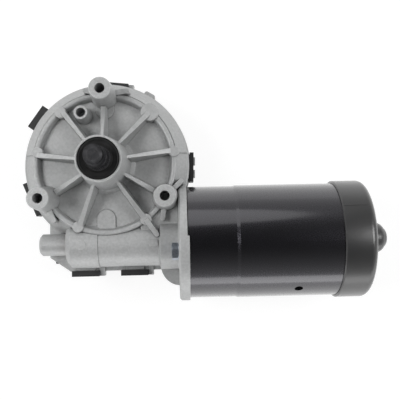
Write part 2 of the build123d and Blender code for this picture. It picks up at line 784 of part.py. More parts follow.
export_step(worm_wheel.part, "parts/worm_wheel.step")

# Brass disc on the wheel's back that tells the wipers' park position
with BuildPart() as park_disc:
    with BuildSketch(Plane.XY.offset(web_back - disc_thickness)):
        Circle(rim_inner - free_gap)
        Circle(wheel_hub_radius + 3.4, mode=Mode.SUBTRACT)
        with BuildLine():
            CenterArc((0, 0), contact_radii[1] + 2.6, -18, 36)
            Line(polar(contact_radii[1] + 2.6, 18)[:2], polar(contact_radii[1] - 2.6, 18)[:2])
            CenterArc((0, 0), contact_radii[1] - 2.6, 18, -36)
            Line(polar(contact_radii[1] - 2.6, -18)[:2], polar(contact_radii[1] + 2.6, -18)[:2])
        make_face(mode=Mode.SUBTRACT)
    extrude(amount=disc_thickness)
park_disc.part.label = "park_disc"
export_step(park_disc.part, "parts/park_disc.step")

# Contact plate on the cover's posts
with BuildPart() as contact_plate:
    with BuildSketch(Plane.XY.offset(plate_z)):
        add(pan_outline(cover_wall + plate_gap))
        for post_place in post_places:
            with Locations(post_place):
                Circle(post_pin_radius + seat_gap, mode=Mode.SUBTRACT)
        Circle(pillar_radius + seat_gap, mode=Mode.SUBTRACT)
    extrude(amount=plate_thickness)
contact_plate.part.label = "contact_plate"
export_step(contact_plate.part, "parts/contact_plate.step")

# Sprung contact fingers that press on the park disc
finger_tip = web_back - disc_thickness - running_gap - finger_thickness / 2
finger_foot = plate_z + plate_thickness + finger_thickness / 2
with BuildPart() as contact_fingers:
    for finger_angle, finger_radius in zip((200, 230, 260), contact_radii):
        finger_plane = Plane(origin=polar(finger_radius, finger_angle),
                             x_dir=polar(1, finger_angle + 90), z_dir=polar(1, finger_angle))
        with BuildSketch(finger_plane):
            with BuildLine():
                Polyline((-finger_length, finger_foot), (-finger_length / 2, finger_foot),
                         (-finger_length / 6, finger_tip - 1), (0, finger_tip), (1.5, finger_tip - 1))
            trace(line_width=finger_thickness)
        extrude(amount=1.5, both=True)
contact_fingers.part.label = "contact_fingers"
export_step(contact_fingers.part, "parts/contact_fingers.step")

# Steel button that takes the output shaft's end thrust
with BuildPart() as thrust_button:
    with BuildSketch(Plane.XY.offset(thrust_button_back)):
        Circle(pillar_radius - 1)
    extrude(amount=shaft_back - running_gap - thrust_button_back)
    fillet(faces().sort_by(Axis.Z)[-1].edges(), 0.4)
thrust_button.part.label = "thrust_button"
export_step(thrust_button.part, "parts/thrust_button.step")

# Tinned brass blades in the connector, bent up to the contact plate
with BuildPart() as connector_terminals:
    for blade in range(terminal_count):
        blade_y = shroud_y + (blade - (terminal_count - 1) / 2) * terminal_pitch
        with BuildSketch(Plane.XZ.offset(-blade_y)):
            with BuildLine():
                Polyline((shroud_left + 6, shroud_z), (pan_left + 6, shroud_z), (pan_left + 6, plate_z))
            trace(line_width=terminal_thickness)
        extrude(amount=terminal_width / 2, both=True)
connector_terminals.part.label = "connector_terminals"
export_step(connector_terminals.part, "parts/connector_terminals.step")

# Armature shaft: ground steel, thinner under the worm and at its tail
with BuildPart() as armature_shaft:
    with BuildSketch(motor_profile):
        with BuildLine():
            Polyline((tail_end, 0), (tail_end, tail_radius - 0.4), (tail_end + 0.4, tail_radius),
                     (worm_length / 2, tail_radius), (worm_length / 2, armature_shaft_radius),
                     (commutator_start + commutator_length + 1, armature_shaft_radius),
                     (commutator_start + commutator_length + 1, core_bore),
                     (core_start + core_length + end_turn_back, core_bore),
                     (core_start + core_length + end_turn_back, rear_journal_radius),
                     (shaft_end - 0.5, rear_journal_radius), (shaft_end, rear_journal_radius - 0.5),
                     (shaft_end, 0), close=True)
        make_face()
    revolve(axis=motor_axis)
armature_shaft.part.label = "armature_shaft"
export_step(armature_shaft.part, "parts/armature_shaft.step")

# Worm pressed on the shaft against its shoulder: the thread is left between the turns of a helical groove
tooth_gap_half = (pi * tooth_module / 2 + flank_gap) / 2
gap_root_half = tooth_gap_half - 1.25 * tooth_module * tooth_slope
groove_over = 0.2
gap_top_half = tooth_gap_half + (tooth_module + groove_over) * tooth_slope
groove_length = 2 * worm_lead * round(worm_length / worm_lead / 2 + 1)
with BuildPart() as worm:
    with BuildSketch(across_motor(-worm_length / 2)):
        Circle(worm_tip_radius)
    extrude(amount=worm_length)
    with BuildLine(mode=Mode.PRIVATE) as groove_path:
        Helix(worm_lead, groove_length, worm_root_radius,
              center=(worm_lead / 4 - groove_length / 2, motor_y, motor_z), direction=(1, 0, 0))
    groove_start = groove_path.line @ 0
    with BuildSketch(Plane(origin=groove_start, x_dir=(1, 0, 0), z_dir=(0, -1, 0))):
        with BuildLine():
            Polyline((-gap_root_half, 0), (-gap_top_half, worm_tip_radius - worm_root_radius + groove_over),
                     (gap_top_half, worm_tip_radius - worm_root_radius + groove_over), (gap_root_half, 0),
                     close=True)
        make_face()
    sweep(path=groove_path.line, is_frenet=True, mode=Mode.SUBTRACT)
    with BuildSketch(across_motor(-worm_length / 2)):
        Circle(tail_radius)
    extrude(amount=worm_length, mode=Mode.SUBTRACT)
worm.part.label = "worm"
export_step(worm.part, "parts/worm.step")

# Sintered bush that carries the shaft's tail at the end of the tunnel
with BuildPart() as tail_bush:
    with BuildSketch(across_motor(tunnel_left)):
        Circle(tunnel_bore_radius)
        Circle(tail_radius + running_gap, mode=Mode.SUBTRACT)
    extrude(amount=tail_bush_length)
tail_bush.part.label = "tail_bush"
export_step(tail_bush.part, "parts/tail_bush.step")

# Hardened pad at the bottom of the tail boss, and the ball that runs on it
with BuildPart() as tail_pad:
    with BuildSketch(across_motor(tail_bore_end)):
        Circle(tail_bore_radius - seat_gap)
    extrude(amount=tail_pad_thickness)
tail_pad.part.label = "tail_pad"
export_step(tail_pad.part, "parts/tail_pad.step")

with BuildPart() as thrust_ball:
    with Locations((ball_x, motor_y, motor_z)):
        Sphere(ball_radius)
thrust_ball.part.label = "thrust_ball"
export_step(thrust_ball.part, "parts/thrust_ball.step")

# Ball bearing in the collar: outer race, inner race and balls
with BuildPart() as bearing_outer_race:
    with BuildSketch(across_motor(bearing_start)):
        Circle(bearing_radius)
        Circle(ball_pitch_radius + bearing_ball_radius + 0.02, mode=Mode.SUBTRACT)
    extrude(amount=bearing_width)
bearing_outer_race.part.label = "bearing_outer_race"
export_step(bearing_outer_race.part, "parts/bearing_outer_race.step")

with BuildPart() as bearing_inner_race:
    with BuildSketch(across_motor(bearing_start)):
        Circle(ball_pitch_radius - bearing_ball_radius - 0.02)
        Circle(armature_shaft_radius, mode=Mode.SUBTRACT)
    extrude(amount=bearing_width)
bearing_inner_race.part.label = "bearing_inner_race"
export_step(bearing_inner_race.part, "parts/bearing_inner_race.step")

with BuildPart() as bearing_balls:
    with Locations(across_motor(bearing_start + bearing_width / 2)):
        with PolarLocations(ball_pitch_radius, 7):
            Sphere(bearing_ball_radius)
bearing_balls.part.label = "bearing_balls"
export_step(bearing_balls.part, "parts/bearing_balls.step")

# Snap ring that holds the bearing in its seat
with BuildPart() as bearing_clip:
    with BuildSketch(across_motor(bearing_start + bearing_width + seat_gap / 2)):
        Circle(bearing_radius + clip_groove - seat_gap)
        Circle(bearing_radius - 1.2, mode=Mode.SUBTRACT)
        with Locations((bearing_radius, 0)):
            Rectangle(4, 5, mode=Mode.SUBTRACT)
    extrude(amount=clip_thickness)
bearing_clip.part.label = "bearing_clip"
export_step(bearing_clip.part, "parts/bearing_clip.step")

# Gasket between the flange and the can
with BuildPart() as can_gasket:
    with BuildSketch(across_motor(flange_right)):
        Circle(can_mouth_radius)
        Circle(can_bore, mode=Mode.SUBTRACT)
    extrude(amount=gasket_thickness)
can_gasket.part.label = "can_gasket"
export_step(can_gasket.part, "parts/can_gasket.step")

# Deep-drawn steel can with the nose that holds the rear bush
with BuildPart() as yoke_can:
    with BuildSketch(motor_profile):
        with BuildLine():
            JernArc((can_back - can_corner, can_radius), (1, 0), can_corner, -90)
            Polyline((can_back, can_radius - can_corner), (can_back, nose_radius + 1.5),
                     (can_back + 1.5, nose_radius),
                     (can_back + nose_length - 1, nose_radius), (can_back + nose_length, nose_radius - 1),
                     (can_back + nose_length, 0), (can_back + nose_length - nose_wall, 0),
                     (can_back + nose_length - nose_wall, nose_bore), (can_back - can_wall, nose_bore),
                     (can_back - can_wall, can_bore - 1), (can_back - can_wall - 1, can_bore),
                     (can_front, can_bore), (can_front, can_mouth_radius), (can_step_x, can_mouth_radius),
                     (can_step_x + can_step_length, can_radius), (can_back - can_corner, can_radius))
        make_face()
    revolve(axis=motor_axis)
    with BuildSketch(Plane(origin=(drain_x, motor_y, motor_z), x_dir=(1, 0, 0),
                           z_dir=(0, -sin(radians(drain_angle)), cos(radians(drain_angle))))):
        Circle(drain_radius)
    extrude(amount=can_radius + 1, mode=Mode.SUBTRACT)
yoke_can.part.label = "yoke_can"
export_step(yoke_can.part, "parts/yoke_can.step")

# Moulded cap pushed over the can's closed end
with BuildPart() as end_cap:
    with BuildSketch(motor_profile):
        with BuildLine():
            JernArc((cap_end - cap_corner, cap_radius), (1, 0), cap_corner, -90)
            Polyline((cap_end, cap_radius - cap_corner),
                     (cap_end, nose_radius + cap_wall + 1), (cap_end + 1, nose_radius + cap_wall),
                     (cap_tip - 4, nose_radius + cap_wall - 0.4),
                     (cap_tip, 2.6), (cap_tip, 0), (can_back + nose_length, 0),
                     (can_back + nose_length, nose_radius - 1), (can_back + nose_length - 1, nose_radius),
                     (can_back + 1.5, nose_radius), (can_back, nose_radius + 1.5),
                     (can_back, can_radius - can_corner))
            JernArc((can_back, can_radius - can_corner), (0, 1), can_corner, 90)
            Polyline((can_back - can_corner, can_radius), (cap_start + cap_mouth_chamfer, can_radius),
                     (cap_start, can_radius + cap_mouth_chamfer), (cap_start, cap_radius - 0.3),
                     (cap_start + 0.3, cap_radius), (cap_end - cap_corner, cap_radius))
        make_face()
    revolve(axis=motor_axis)
end_cap.part.label = "end_cap"
export_step(end_cap.part, "parts/end_cap.step")

# Steel plate crimped into the can's mouth, tapped for the two flange bolts
with BuildPart() as can_end_plate:
    with BuildSketch(across_motor(end_plate_start)):
        Circle(can_bore)
        Circle(bearing_radius + 1.5, mode=Mode.SUBTRACT)
        with PolarLocations(bolt_offset, 2, start_angle=90 + bolt_tilt):
            Circle(bolt_radius + seat_gap / 2, mode=Mode.SUBTRACT)
    extrude(amount=end_plate_thickness)
can_end_plate.part.label = "can_end_plate"
export_step(can_end_plate.part, "parts/can_end_plate.step")

# Hexagon bolts that hold the can to the housing's flange
with BuildPart() as flange_bolts:
    with BuildSketch(across_motor(flange_left - bolt_head_height)):
        with PolarLocations(bolt_offset, 2, start_angle=90 + bolt_tilt):
            RegularPolygon(bolt_head_flats / 2, 6, major_radius=False)
    extrude(amount=bolt_head_height)
    with BuildSketch(across_motor(flange_left)):
        with PolarLocations(bolt_offset, 2, start_angle=90 + bolt_tilt):
            Circle(bolt_radius)
    extrude(amount=bolt_length)
flange_bolts.part.label = "flange_bolts"
export_step(flange_bolts.part, "parts/flange_bolts.step")

# Brush card: moulded plate with three brush boxes
with BuildPart() as brush_card:
    with BuildSketch(across_motor(card_start)):
        Circle(can_bore - free_gap)
        Circle(commutator_radius + 1, mode=Mode.SUBTRACT)
        with PolarLocations(bolt_offset, 2, start_angle=90 + bolt_tilt):
            Circle(bolt_radius + free_gap, mode=Mode.SUBTRACT)
    extrude(amount=card_thickness)
    for brush_angle in brush_angles:
        with BuildSketch(across_motor(card_start + card_thickness)):
            with Locations(Location(((brush_box_inner + brush_box_outer) / 2 * cos(radians(brush_angle)),
                                     (brush_box_inner + brush_box_outer) / 2 * sin(radians(brush_angle)), 0),
                                    (0, 0, brush_angle))):
                Rectangle(brush_box_outer - brush_box_inner, brush_width + 2 * brush_box_wall)
        extrude(amount=brush_x + brush_axial / 2 + brush_box_wall - card_start - card_thickness)
        with BuildSketch(across_motor(brush_x - brush_axial / 2 - seat_gap)):
            with Locations(Location(((brush_box_inner + brush_box_outer - brush_box_wall) / 2
                                     * cos(radians(brush_angle)),
                                     (brush_box_inner + brush_box_outer - brush_box_wall) / 2
                                     * sin(radians(brush_angle)), 0), (0, 0, brush_angle))):
                Rectangle(brush_box_outer - brush_box_wall - brush_box_inner, brush_width + 2 * seat_gap)
        extrude(amount=brush_axial + 2 * seat_gap, mode=Mode.SUBTRACT)
brush_card.part.label = "brush_card"
export_step(brush_card.part, "parts/brush_card.step")

# Carbon brushes that ride on the commutator
with BuildPart() as brushes:
    with BuildSketch(across_motor(brush_x - brush_axial / 2)):
        for brush_angle in brush_angles:
            brush_middle = brush_start + brush_length / 2
            with Locations(Location((brush_middle * cos(radians(brush_angle)),
                                     brush_middle * sin(radians(brush_angle)), 0), (0, 0, brush_angle))):
                Rectangle(brush_length, brush_width)
        Circle(commutator_radius + running_gap, mode=Mode.SUBTRACT)
    extrude(amount=brush_axial)
brushes.part.label = "brushes"
export_step(brushes.part, "parts/brushes.step")

# Folded leaf springs behind the brushes
with BuildPart() as brush_springs:
    spring_inner = brush_start + brush_length + spring_leaf
    spring_outer = brush_box_outer - brush_box_wall - spring_leaf
    spring_half = brush_width / 2 - 3 * spring_leaf
    for brush_angle in brush_angles:
        spring_plane = Plane(across_motor(brush_x).location * Location((0, 0, 0), (0, 0, brush_angle)))
        with BuildSketch(spring_plane):
            with BuildLine():
                Polyline((spring_inner, -spring_half), (spring_inner, spring_half),
                         ((spring_inner + spring_outer) / 2, -spring_half),
                         (spring_outer, spring_half), (spring_outer, -spring_half))
            trace(line_width=spring_leaf)
        extrude(amount=brush_axial / 2 - 1, both=True)
brush_springs.part.label = "brush_springs"
export_step(brush_springs.part, "parts/brush_springs.step")

# Suppression chokes on the card: ferrite rods, each wound with copper wire
with BuildPart() as choke_cores:
    with BuildSketch(across_motor(card_start + card_thickness)):
        for choke_angle in choke_angles:
            with Locations((choke_place * cos(radians(choke_angle)), choke_place * sin(radians(choke_angle)))):
                Circle(choke_core_radius)
    extrude(amount=choke_length)
choke_cores.part.label = "choke_cores"
export_step(choke_cores.part, "parts/choke_cores.step")

with BuildPart() as choke_windings:
    with BuildSketch(across_motor(card_start + card_thickness + 1)):
        for choke_angle in choke_angles:
            with Locations((choke_place * cos(radians(choke_angle)), choke_place * sin(radians(choke_angle)))):
                Circle(choke_core_radius + 1.2)
                Circle(choke_core_radius, mode=Mode.SUBTRACT)
    extrude(amount=choke_length - 2)
choke_windings.part.label = "choke_windings"
export_step(choke_windings.part, "parts/choke_windings.step")

# Ferrite magnets inside the can, and the bow springs that hold them apart
with BuildPart() as magnets:
    with BuildSketch(across_motor(core_start - magnet_overhang)):
        Circle(can_bore)
        Circle(core_radius + air_gap, mode=Mode.SUBTRACT)
        for side in (-1, 1):
            with BuildLine():
                Polyline((0, 0), (side * 2 * can_bore, -2 * can_bore * tan(radians(90 - magnet_span / 2))),
                         (side * 2 * can_bore, 2 * can_bore * tan(radians(90 - magnet_span / 2))), close=True)
            make_face(mode=Mode.SUBTRACT)
    extrude(amount=core_length + 2 * magnet_overhang)
magnets.part.label = "magnets"
export_step(magnets.part, "parts/magnets.step")

with BuildPart() as magnet_springs:
    magnet_edge = 90 - magnet_span / 2
    bow_radius = can_bore - spring_leaf
    with BuildSketch(across_motor(core_start + 3)):
        for side in (0, 180):
            foot = core_radius + air_gap + 1
            turn = magnet_edge - degrees(spring_leaf / foot)
            with BuildLine(mode=Mode.PRIVATE) as bow:
                Polyline(polar(foot, side - turn)[:2], polar(bow_radius, side - turn + 1.5)[:2])
                CenterArc((0, 0), bow_radius, side - turn + 1.5, 2 * turn - 3)
                Polyline(polar(bow_radius, side + turn - 1.5)[:2], polar(foot, side + turn)[:2])
            trace(bow.line, line_width=spring_leaf)
    extrude(amount=core_length - 6)
magnet_springs.part.label = "magnet_springs"
export_step(magnet_springs.part, "parts/magnet_springs.step")

# Slotted lamination stack
with BuildPart() as armature_core:
    with BuildSketch(across_motor(core_start)):
        Circle(core_radius)
        Circle(core_bore, mode=Mode.SUBTRACT)
        with PolarLocations(slot_middle, slot_count):
            Rectangle(slot_depth, slot_width, mode=Mode.SUBTRACT)
        with PolarLocations(core_radius, slot_count):
            Rectangle(2 * (core_radius - slot_middle - slot_depth / 2) + 1, slot_mouth, mode=Mode.SUBTRACT)
    extrude(amount=core_length)
armature_core.part.label = "armature_core"
export_step(armature_core.part, "parts/armature_core.step")

# Copper winding: a bar of wires in every slot, joined by the end turns
with BuildPart() as armature_winding:
    with BuildSketch(across_motor(core_start)):
        with PolarLocations(slot_middle, slot_count):
            Rectangle(slot_depth - 2 * seat_gap, slot_width - 2 * seat_gap)
    extrude(amount=core_length)
    for turn_start, turn_length in ((core_start, -end_turn_front), (core_start + core_length, end_turn_back)):
        with BuildSketch(motor_profile):
            with BuildLine():
                Polyline((turn_start, core_bore), (turn_start, core_radius - 1.5),
                         (turn_start + turn_length * 0.6, core_radius - 2),
                         (turn_start + turn_length, core_radius - 5), (turn_start + turn_length, core_bore),
                         close=True)
            make_face()
        revolve(axis=motor_axis)
armature_winding.part.label = "armature_winding"
export_step(armature_winding.part, "parts/armature_winding.step")

# Commutator: moulded sleeve with copper bars
with BuildPart() as commutator_sleeve:
    with BuildSketch(across_motor(commutator_start - 0.5)):
        Circle(commutator_sleeve_radius)
        Circle(armature_shaft_radius, mode=Mode.SUBTRACT)
    extrude(amount=commutator_length + 1)
commutator_sleeve.part.label = "commutator_sleeve"
export_step(commutator_sleeve.part, "parts/commutator_sleeve.step")

with BuildPart() as commutator_bars:
    with BuildSketch(across_motor(commutator_start)):
        Circle(commutator_radius)
        Circle(commutator_sleeve_radius, mode=Mode.SUBTRACT)
        with PolarLocations(commutator_radius, slot_count, start_angle=180 / slot_count):
            Rectangle(2 * commutator_radius, segment_gap, mode=Mode.SUBTRACT)
    extrude(amount=commutator_length)
commutator_bars.part.label = "commutator_bars"
export_step(commutator_bars.part, "parts/commutator_bars.step")

# Sintered bush in the can's nose and the star washer that keeps it there
with BuildPart() as rear_bush:
    with BuildSketch(across_motor(can_back - can_wall)):
        Circle(nose_bore)
        Circle(rear_journal_radius + running_gap, mode=Mode.SUBTRACT)
    extrude(amount=rear_bush_length)
rear_bush.part.label = "rear_bush"
export_step(rear_bush.part, "parts/rear_bush.step")

with BuildPart() as bush_retainer:
    with BuildSketch(across_motor(can_back - can_wall - retainer_thickness)):
        Circle(retainer_radius)
        Circle(rear_journal_radius + free_gap, mode=Mode.SUBTRACT)
        with PolarLocations(retainer_radius, 6):
            Rectangle(5, 3, mode=Mode.SUBTRACT)
    extrude(amount=retainer_thickness)
bush_retainer.part.label = "bush_retainer"
export_step(bush_retainer.part, "parts/bush_retainer.step")
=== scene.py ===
import math

import bpy
from mathutils import Euler, Matrix, Vector


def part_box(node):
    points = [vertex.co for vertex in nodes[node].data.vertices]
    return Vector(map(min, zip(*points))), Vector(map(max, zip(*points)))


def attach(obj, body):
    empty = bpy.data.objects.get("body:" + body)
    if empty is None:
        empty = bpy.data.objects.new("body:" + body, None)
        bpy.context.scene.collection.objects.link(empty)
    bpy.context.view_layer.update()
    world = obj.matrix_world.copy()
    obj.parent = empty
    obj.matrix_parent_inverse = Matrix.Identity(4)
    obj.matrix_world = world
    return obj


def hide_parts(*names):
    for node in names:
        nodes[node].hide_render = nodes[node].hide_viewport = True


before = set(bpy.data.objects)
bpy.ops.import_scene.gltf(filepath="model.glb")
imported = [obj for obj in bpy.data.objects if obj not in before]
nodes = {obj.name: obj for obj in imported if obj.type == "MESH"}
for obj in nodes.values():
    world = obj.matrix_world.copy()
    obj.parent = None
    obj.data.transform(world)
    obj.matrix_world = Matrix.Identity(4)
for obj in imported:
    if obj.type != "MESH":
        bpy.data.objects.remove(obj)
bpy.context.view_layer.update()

scene = bpy.context.scene
mm = 0.001
image_side = 400

# Camera: the photograph looks down the output shaft from about 30 cm, a little from the right.
# Its place and turn were worked out from the boss holes, the hub and the outline of the can.
focal_pixels, sensor_width = 601.97, 36
camera_at = Vector((39.48, -31.65, 296.83)) * mm
camera_turn = (-2.13, 1.75, 1.22)
world_to_camera = Euler([math.radians(angle) for angle in camera_turn], "XYZ").to_matrix()
camera_data = bpy.data.cameras.new("camera")
camera_data.sensor_width = sensor_width
camera_data.lens = focal_pixels / image_side * sensor_width
camera_data.clip_start = 0.01
camera = bpy.data.objects.new("camera", camera_data)
camera.matrix_world = Matrix.Translation(camera_at) @ world_to_camera.inverted().to_4x4()
scene.collection.objects.link(camera)
scene.camera = camera
scene.view_settings.view_transform = "Standard"


def linear(code):
    """Linear colour of an sRGB hex value, in the form that sockets take."""
    parts = [int(code[i:i + 2], 16) / 255 for i in (1, 3, 5)]
    return [p / 12.92 if p <= 0.04045 else ((p + 0.055) / 1.055) ** 2.4 for p in parts] + [1.0]


def add_node(tree, kind, settings, links=()):
    """Adds a node to a tree, sets its properties and inputs by name, and joins inputs to outputs."""
    node = tree.nodes.new(kind)
    for name, value in settings.items():
        if str(name) in node.bl_rna.properties:
            setattr(node, name, value)
        else:
            node.inputs[name].default_value = value
    for name, output in dict(links).items():
        tree.links.new(output, node.inputs[name])
    return node


# Table: the motor lies on its back on matt white board, as the photograph's cut-out white shows.
# The board is painted white to the camera and to anything that mirrors it, and keeps the shadow.
rest_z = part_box("gear_cover")[0].z
table_side, table_glow = 6, 0.87

bpy.ops.mesh.primitive_plane_add(size=table_side, location=(0, 0, rest_z))
table = bpy.context.object
table.name = "table"
board = bpy.data.materials.new("white_board")
board.use_nodes = True
tree = board.node_tree
tree.nodes.clear()
path = add_node(tree, "ShaderNodeLightPath", {})
seen = add_node(tree, "ShaderNodeMath", {"operation": "MAXIMUM"},
                {0: path.outputs["Is Camera Ray"], 1: path.outputs["Is Glossy Ray"]})
seen = add_node(tree, "ShaderNodeMath", {"operation": "MAXIMUM"},
                {0: seen.outputs[0], 1: path.outputs["Is Transmission Ray"]})
board_pale = add_node(tree, "ShaderNodeBsdfDiffuse", {"Color": linear("#E6E6E6")})
board_shade = add_node(tree, "ShaderNodeBsdfDiffuse", {"Color": linear("#7A7A7A")})
board_glow = add_node(tree, "ShaderNodeEmission", {"Strength": table_glow})
board_white = add_node(tree, "ShaderNodeAddShader", {}, {0: board_shade.outputs[0], 1: board_glow.outputs[0]})
board_mix = add_node(tree, "ShaderNodeMixShader", {},
                     {0: seen.outputs[0], 1: board_pale.outputs[0], 2: board_white.outputs[0]})
add_node(tree, "ShaderNodeOutputMaterial", {}, {"Surface": board_mix.outputs[0]})
table.data.materials.append(board)

# Studio: walls that are white at the table's height and darken towards the ceiling, and four large
# soft lamps. A wide one stands low beside the can, where the photograph's brightest reflections are,
# and two hang past the motor's ends, where the can doesn't mirror them.
wall_strength, ceiling_strength = 1.0, 0.04
studio = bpy.data.worlds.new("studio")
scene.world = studio
studio.use_nodes = True
tree = studio.node_tree
tree.nodes.clear()
direction = add_node(tree, "ShaderNodeTexCoord", {})
height = add_node(tree, "ShaderNodeSeparateXYZ", {}, {"Vector": direction.outputs["Generated"]})
fall = add_node(tree, "ShaderNodeMapRange", {"To Min": wall_strength, "To Max": ceiling_strength},
                {"Value": height.outputs["Z"]})
walls = add_node(tree, "ShaderNodeBackground", {}, {"Strength": fall.outputs["Result"]})
add_node(tree, "ShaderNodeOutputWorld", {}, {"Surface": walls.outputs[0]})

middle = Vector((0.05, -0.012, -0.03))
lamps = (("lamp_low", (0.06, -0.75, 0.0), (2.4, 0.32), 3.2),
         ("lamp_high", (-0.10, 0.60, 0.50), (0.8, 0.6), 1.2),
         ("lamp_left", (-0.61, 0.06, 0.82), (0.5, 0.5), 4.2),
         ("lamp_right", (0.78, 0.08, 0.82), (0.5, 0.5), 4.2))
for lamp_name, lamp_at, (lamp_width, lamp_depth), lamp_watts in lamps:
    lamp_data = bpy.data.lights.new(lamp_name, "AREA")
    lamp_data.shape = "ELLIPSE"
    lamp_data.size = lamp_width
    lamp_data.size_y = lamp_depth
    lamp_data.energy = lamp_watts
    lamp = bpy.data.objects.new(lamp_name, lamp_data)
    lamp.visible_camera = False
    lamp.location = lamp_at
    lamp.rotation_euler = (middle - lamp.location).to_track_quat("-Z", "Y").to_euler()
    scene.collection.objects.link(lamp)


# Gear housing: one die casting in aluminium alloy, blasted with fine shot after trimming, which leaves
# it matt and pale grey with a fine grain and a faint, small mottle.
def bare_material(name):
    """A new material's tree and its Principled BSDF."""
    material = bpy.data.materials.new(name)
    material.use_nodes = True
    return material, material.node_tree, material.node_tree.nodes["Principled BSDF"]


def noise_at(tree, size_mm, detail, roughness=0.5):
    """Noise over the piece, with features of a real size."""
    place = add_node(tree, "ShaderNodeTexCoord", {})
    settings = {"Scale": 1 / (size_mm * mm), "Detail": detail, "Roughness": roughness}
    noise = add_node(tree, "ShaderNodeTexNoise", settings, {"Vector": place.outputs["Object"]})
    return noise.outputs["Fac"]


def finish_surface(tree, surface, colours, roughnesses, mottle_mm, grain_mm, grain_depth_mm):
    """Colour and roughness that drift over the surface, and a fine grain in relief."""
    mottle = noise_at(tree, mottle_mm, 4)
    ramp = add_node(tree, "ShaderNodeValToRGB", {}, {"Fac": mottle})
    ramp.color_ramp.elements[0].position = 0.35
    ramp.color_ramp.elements[1].position = 0.65
    for stop, colour in zip(ramp.color_ramp.elements, colours):
        stop.color = linear(colour)
    tree.links.new(ramp.outputs["Color"], surface.inputs["Base Color"])
    grain = noise_at(tree, grain_mm, 3, 0.6)
    rough = add_node(tree, "ShaderNodeMapRange", {"To Min": roughnesses[0], "To Max": roughnesses[1]},
                     {"Value": grain})
    tree.links.new(rough.outputs["Result"], surface.inputs["Roughness"])
    relief = add_node(tree, "ShaderNodeBump", {"Strength": 1.0, "Distance": grain_depth_mm * mm},
                      {"Height": grain})
    tree.links.new(relief.outputs["Normal"], surface.inputs["Normal"])
    return relief, ramp


def coat(piece, material):
    """Gives one piece its only material."""
    piece.data.materials.clear()
    piece.data.materials.append(material)


def dress(material, *names):
    """Gives CAD nodes their material."""
    for name in names:
        coat(nodes[name], material)


cast_aluminium, tree, surface = bare_material("cast_aluminium")
surface.inputs["Metallic"].default_value = 0.4
relief, ramp = finish_surface(tree, surface, ("#AFB0B0", "#BABBBB"), (0.4, 0.54), 1.3, 0.5, 0.09)
cast_edge_radius, corner_shade_reach, edge_highlight_radius = 0.35 * mm, 1.1 * mm, 0.5 * mm
soft_edges = add_node(tree, "ShaderNodeBevel", {"samples": 6, "Radius": cast_edge_radius})
tree.links.new(soft_edges.outputs["Normal"], relief.inputs["Normal"])

# Painted shade: ambient occlusion darkens the casting's colour in its corners and crevices, where shade falls.
occlusion_in_corners = add_node(tree, "ShaderNodeAmbientOcclusion", {"samples": 8, "Distance": corner_shade_reach})
painted_corner_shade = add_node(tree, "ShaderNodeMapRange",
                        {"From Min": 0.35, "From Max": 0.8, "To Min": 0.28, "To Max": 1.0},
                        {"Value": occlusion_in_corners.outputs["AO"]})

# Painted highlight: the casting's colour is lightened along its edges, where the bevelled normal turns away
# from the true one.
highlight_bevel = add_node(tree, "ShaderNodeBevel", {"samples": 6, "Radius": edge_highlight_radius})
true_surface = add_node(tree, "ShaderNodeNewGeometry", {})
turn_at_edge = add_node(tree, "ShaderNodeVectorMath", {"operation": "DOT_PRODUCT"},
                        {0: highlight_bevel.outputs["Normal"], 1: true_surface.outputs["Normal"]})
painted_edge_highlight = add_node(tree, "ShaderNodeMapRange",
                      {"From Min": 0.8, "From Max": 0.98, "To Min": 1.28, "To Max": 1.0},
                      {"Value": turn_at_edge.outputs["Value"]})

# The tops of the three bosses are faced by a cutter, which leaves fine rings round each hole.
boss_circle_radius, boss_angles = 36, (90, 210, 330)
ring_spacing, boss_face_reach, boss_face_band = 0.55 * mm, 5.4 * mm, 0.06 * mm
place = add_node(tree, "ShaderNodeTexCoord", {}).outputs["Object"]
nearest = None
for angle in boss_angles:
    across, along = math.cos(math.radians(angle)), math.sin(math.radians(angle))
    centre = [boss_circle_radius * mm * across, boss_circle_radius * mm * along, 0]
    away = add_node(tree, "ShaderNodeVectorMath", {"operation": "DISTANCE", 1: centre}, {0: place})
    away = away.outputs["Value"]
    if nearest is not None:
        away = add_node(tree, "ShaderNodeMath", {"operation": "MINIMUM"}, {0: away, 1: nearest}).outputs[0]
    nearest = away
turns = add_node(tree, "ShaderNodeMath", {"operation": "MULTIPLY", 1: 2 * math.pi / ring_spacing}, {0: nearest})
rings = add_node(tree, "ShaderNodeMath", {"operation": "SINE"}, {0: turns.outputs[0]})
depth = add_node(tree, "ShaderNodeSeparateXYZ", {}, {"Vector": place})
faced = add_node(tree, "ShaderNodeMath", {"operation": "COMPARE", 1: 0.0, 2: boss_face_band},
                 {0: depth.outputs["Z"]})
within = add_node(tree, "ShaderNodeMath", {"operation": "LESS_THAN", 1: boss_face_reach}, {0: nearest})
faced = add_node(tree, "ShaderNodeMath", {"operation": "MULTIPLY"}, {0: faced.outputs[0], 1: within.outputs[0]})
ring_shade = add_node(tree, "ShaderNodeMath", {"operation": "MULTIPLY"},
                      {0: rings.outputs[0], 1: faced.outputs[0]})
ring_shade = add_node(tree, "ShaderNodeMapRange",
                      {"From Min": -1.0, "From Max": 1.0, "To Min": 0.78, "To Max": 1.22},
                      {"Value": ring_shade.outputs[0]})
# The cutter rings, the painted corner shade and the painted edge highlight together scale the casting's colour.
rings_and_painted_light = add_node(tree, "ShaderNodeMath", {"operation": "MULTIPLY"},
                 {0: ring_shade.outputs["Result"], 1: painted_corner_shade.outputs["Result"]})
rings_and_painted_light = add_node(tree, "ShaderNodeMath", {"operation": "MULTIPLY"},
                 {0: rings_and_painted_light.outputs[0], 1: painted_edge_highlight.outputs["Result"]})
shaded = add_node(tree, "ShaderNodeVectorMath", {"operation": "SCALE"},
                  {0: ramp.outputs["Color"], "Scale": rings_and_painted_light.outputs[0]})
tree.links.new(shaded.outputs[0], surface.inputs["Base Color"])
dress(cast_aluminium, "gear_housing")

